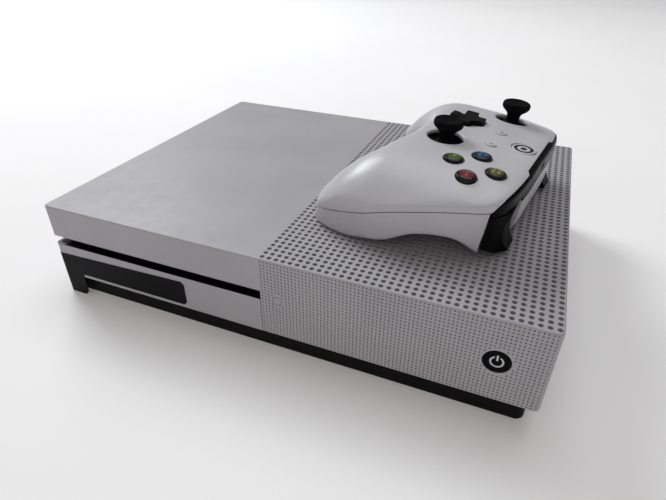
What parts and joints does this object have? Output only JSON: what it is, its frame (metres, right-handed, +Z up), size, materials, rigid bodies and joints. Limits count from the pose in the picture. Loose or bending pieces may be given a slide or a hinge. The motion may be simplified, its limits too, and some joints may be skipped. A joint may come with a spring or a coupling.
{
  "type": "game console with controller",
  "caption": "Flat game console with disc slot, perforated half, black set-back base and front power button; a wireless hand controller lies on its perforated top.",
  "frame": {"origin": "middle of the console's underside, on the surface it stands on", "axes": "+X to the right along the console's width, +Y to its back, +Z up; the front with the disc slot faces -Y"},
  "size_m": [0.295, 0.23, 0.1192],
  "materials": {
    "case_white": "fine satin, very slight grain",
    "base_black": "matte, fine grain",
    "gloss_black": "polished",
    "film_black": "satin film",
    "foot_rubber": "matte",
    "steel_sheet": "brushed",
    "heat_metal": "extruded",
    "board_green": "solder mask",
    "inner_black": "moulded",
    "light_mark": "translucent, unlit",
    "pad_white": "soft satin",
    "stick_rubber": "soft touch",
    "key_green": "domed, clear topped",
    "key_red": "domed, clear topped",
    "key_blue": "domed, clear topped",
    "key_yellow": "domed, clear topped",
    "cell_wrap": "printed sleeve, plain",
    "motor_steel": "drawn can"
  },
  "bodies": {
    "console": {"upper_shell": "case_white", "top_grille": "case_white", "lower_panel": "case_white", "slot_bezel": "base_black", "base_cover": "base_black", "rubber_feet": "foot_rubber", "rear_panel": "base_black", "power_inlet": "inner_black", "hdmi_ports": "steel_sheet", "usb_ports": "steel_sheet", "ethernet_port": "steel_sheet", "corner_label": "film_black", "chassis_plate": "steel_sheet", "mainboard": "board_green", "heatsink": "heat_metal", "fan_housing": "inner_black", "power_supply": "inner_black", "hard_drive": "heat_metal", "optical_drive": "steel_sheet", "case_screws": "steel_sheet"},
    "power_button": {"power_button": "gloss_black", "power_light": "light_mark"},
    "eject_button": {"eject_button": "case_white"},
    "fan_rotor": {"fan_rotor": "inner_black"},
    "disc_hub": {"disc_hub": "inner_black"},
    "laser_sled": {"laser_sled": "inner_black"},
    "lead_screw": {"lead_screw": "steel_sheet"},
    "feed_roller": {"feed_roller": "foot_rubber"},
    "controller": {"front_shell": "pad_white", "back_shell": "pad_white", "grip_left": "pad_white", "grip_right": "pad_white", "batteries": "cell_wrap", "bumper_bridge": "gloss_black", "stick_left_base": "inner_black", "stick_right_base": "inner_black", "pad_board": "board_green", "rumble_motors": "motor_steel"},
    "battery_door": {"battery_door": "pad_white"},
    "bumper_left": {"bumper_left": "gloss_black"},
    "bumper_right": {"bumper_right": "gloss_black"},
    "trigger_left": {"trigger_left": "base_black"},
    "trigger_right": {"trigger_right": "base_black"},
    "button_down": {"button_down": "key_green"},
    "button_right": {"button_right": "key_red"},
    "button_left": {"button_left": "key_blue"},
    "button_up": {"button_up": "key_yellow"},
    "home_button": {"home_button": "pad_white"},
    "view_button": {"view_button": "pad_white"},
    "menu_button": {"menu_button": "pad_white"},
    "dpad_rocker": {"dpad_rocker": "inner_black"},
    "dpad_cross": {"dpad_cross": "base_black"},
    "stick_left_yoke": {"stick_left_yoke": "steel_sheet"},
    "stick_left_shaft": {"stick_left_shaft": "steel_sheet"},
    "stick_left_cap": {"stick_left_cap": "stick_rubber"},
    "stick_right_yoke": {"stick_right_yoke": "steel_sheet"},
    "stick_right_shaft": {"stick_right_shaft": "steel_sheet"},
    "stick_right_cap": {"stick_right_cap": "stick_rubber"},
    "rumble_weight_left": {"rumble_weight_left": "motor_steel"},
    "rumble_weight_right": {"rumble_weight_right": "motor_steel"}
  },
  "joints": [
    {"name": "controller_lift", "type": "slide", "parent": "console", "child": "controller", "axis": [0, 0, 1], "range_m": [0, 0.12]},
    {"name": "power_press", "type": "slide", "parent": "console", "child": "power_button", "axis": [0, 1, 0], "range_m": [0, 0.0008], "stiffness_N_per_m": 400},
    {"name": "eject_press", "type": "slide", "parent": "console", "child": "eject_button", "axis": [0, 1, 0], "range_m": [0, 0.0006], "stiffness_N_per_m": 300},
    {"name": "fan_spin", "type": "hinge", "parent": "console", "child": "fan_rotor", "pos_m": [0.09, 0.036, 0.045], "axis": [0, 0, 1], "continuous": true},
    {"name": "disc_spin", "type": "hinge", "parent": "console", "child": "disc_hub", "pos_m": [-0.0728, -0.038, 0.033], "axis": [0, 0, 1], "continuous": true},
    {"name": "sled_travel", "type": "slide", "parent": "console", "child": "laser_sled", "axis": [0, 1, 0], "range_m": [-0.008, 0.018]},
    {"name": "screw_turn", "type": "hinge", "parent": "console", "child": "lead_screw", "pos_m": [-0.0928, -0.02, 0.0325], "axis": [0, 1, 0], "range_deg": [-260, 560]},
    {"name": "roller_turn", "type": "hinge", "parent": "console", "child": "feed_roller", "pos_m": [-0.0728, -0.097, 0.0339], "axis": [1, 0, 0], "continuous": true},
    {"name": "door_off", "type": "slide", "parent": "controller", "child": "battery_door", "axis": [-0.086, 0.0139, -0.9962], "range_m": [0, 0.005]},
    {"name": "trigger_left_pull", "type": "hinge", "parent": "controller", "child": "trigger_left", "pos_m": [0.12289, 0.03382, 0.09347], "axis": [0.1599, 0.9871, 0], "range_deg": [0, 10], "stiffness_Nm_per_rad": 0.35},
    {"name": "trigger_right_pull", "type": "hinge", "parent": "controller", "child": "trigger_right", "pos_m": [0.10786, -0.05897, 0.09347], "axis": [0.1599, 0.9871, 0], "range_deg": [0, 10], "stiffness_Nm_per_rad": 0.35},
    {"name": "bumper_left_press", "type": "hinge", "parent": "controller", "child": "bumper_left", "pos_m": [0.12695, 0.01341, 0.09624], "axis": [0.086, -0.0139, 0.9962], "range_deg": [0, 1], "stiffness_Nm_per_rad": 3},
    {"name": "bumper_right_press", "type": "hinge", "parent": "controller", "child": "bumper_right", "pos_m": [0.11815, -0.04088, 0.09624], "axis": [-0.086, 0.0139, -0.9962], "range_deg": [0, 1], "stiffness_Nm_per_rad": 3},
    {"name": "button_down_press", "type": "slide", "parent": "controller", "child": "button_down", "axis": [-0.086, 0.0139, -0.9962], "range_m": [0, 0.0016], "stiffness_N_per_m": 250},
    {"name": "button_right_press", "type": "slide", "parent": "controller", "child": "button_right", "axis": [-0.086, 0.0139, -0.9962], "range_m": [0, 0.0016], "stiffness_N_per_m": 250},
    {"name": "button_left_press", "type": "slide", "parent": "controller", "child": "button_left", "axis": [-0.086, 0.0139, -0.9962], "range_m": [0, 0.0016], "stiffness_N_per_m": 250},
    {"name": "button_up_press", "type": "slide", "parent": "controller", "child": "button_up", "axis": [-0.086, 0.0139, -0.9962], "range_m": [0, 0.0016], "stiffness_N_per_m": 250},
    {"name": "home_press", "type": "slide", "parent": "controller", "child": "home_button", "axis": [-0.086, 0.0139, -0.9962], "range_m": [0, 0.0007], "stiffness_N_per_m": 400},
    {"name": "view_press", "type": "slide", "parent": "controller", "child": "view_button", "axis": [-0.086, 0.0139, -0.9962], "range_m": [0, 0.0007], "stiffness_N_per_m": 400},
    {"name": "menu_press", "type": "slide", "parent": "controller", "child": "menu_button", "axis": [-0.086, 0.0139, -0.9962], "range_m": [0, 0.0007], "stiffness_N_per_m": 400},
    {"name": "dpad_up_down", "type": "hinge", "parent": "controller", "child": "dpad_rocker", "pos_m": [0.07745, 0.01099, 0.09988], "axis": [-0.1599, -0.9871, 0], "range_deg": [-3.5, 3.5], "stiffness_Nm_per_rad": 0.6},
    {"name": "dpad_left_right", "type": "hinge", "parent": "dpad_rocker", "child": "dpad_cross", "pos_m": [0.07751, 0.01098, 0.10048], "axis": [0.9834, -0.1593, -0.0872], "range_deg": [-3.5, 3.5], "stiffness_Nm_per_rad": 0.6},
    {"name": "stick_left_y", "type": "hinge", "parent": "controller", "child": "stick_left_yoke", "pos_m": [0.10191, 0.03236, 0.09355], "axis": [-0.1599, -0.9871, 0], "range_deg": [-14, 14], "stiffness_Nm_per_rad": 0.05},
    {"name": "stick_left_x", "type": "hinge", "parent": "stick_left_yoke", "child": "stick_left_shaft", "pos_m": [0.10191, 0.03236, 0.09355], "axis": [0.9834, -0.1593, -0.0872], "range_deg": [-14, 14], "stiffness_Nm_per_rad": 0.05},
    {"name": "stick_left_click", "type": "slide", "parent": "stick_left_shaft", "child": "stick_left_cap", "axis": [-0.086, 0.0139, -0.9962], "range_m": [0, 0.0006], "stiffness_N_per_m": 1500},
    {"name": "stick_right_y", "type": "hinge", "parent": "controller", "child": "stick_right_yoke", "pos_m": [0.07081, -0.02258, 0.09547], "axis": [-0.1599, -0.9871, 0], "range_deg": [-14, 14], "stiffness_Nm_per_rad": 0.05},
    {"name": "stick_right_x", "type": "hinge", "parent": "stick_right_yoke", "child": "stick_right_shaft", "pos_m": [0.07081, -0.02258, 0.09547], "axis": [0.9834, -0.1593, -0.0872], "range_deg": [-14, 14], "stiffness_Nm_per_rad": 0.05},
    {"name": "stick_right_click", "type": "slide", "parent": "stick_right_shaft", "child": "stick_right_cap", "axis": [-0.086, 0.0139, -0.9962], "range_m": [0, 0.0006], "stiffness_N_per_m": 1500},
    {"name": "rumble_left_spin", "type": "hinge", "parent": "controller", "child": "rumble_weight_left", "pos_m": [0.06034, 0.04193, 0.08432], "axis": [-0.1599, -0.9871, 0], "continuous": true},
    {"name": "rumble_right_spin", "type": "hinge", "parent": "controller", "child": "rumble_weight_right", "pos_m": [0.04595, -0.04692, 0.08432], "axis": [-0.1599, -0.9871, 0], "continuous": true}
  ],
  "couplings": [
    {"joint": "screw_turn", "follows": "sled_travel", "rad_per_m": 523.6}
  ]
}
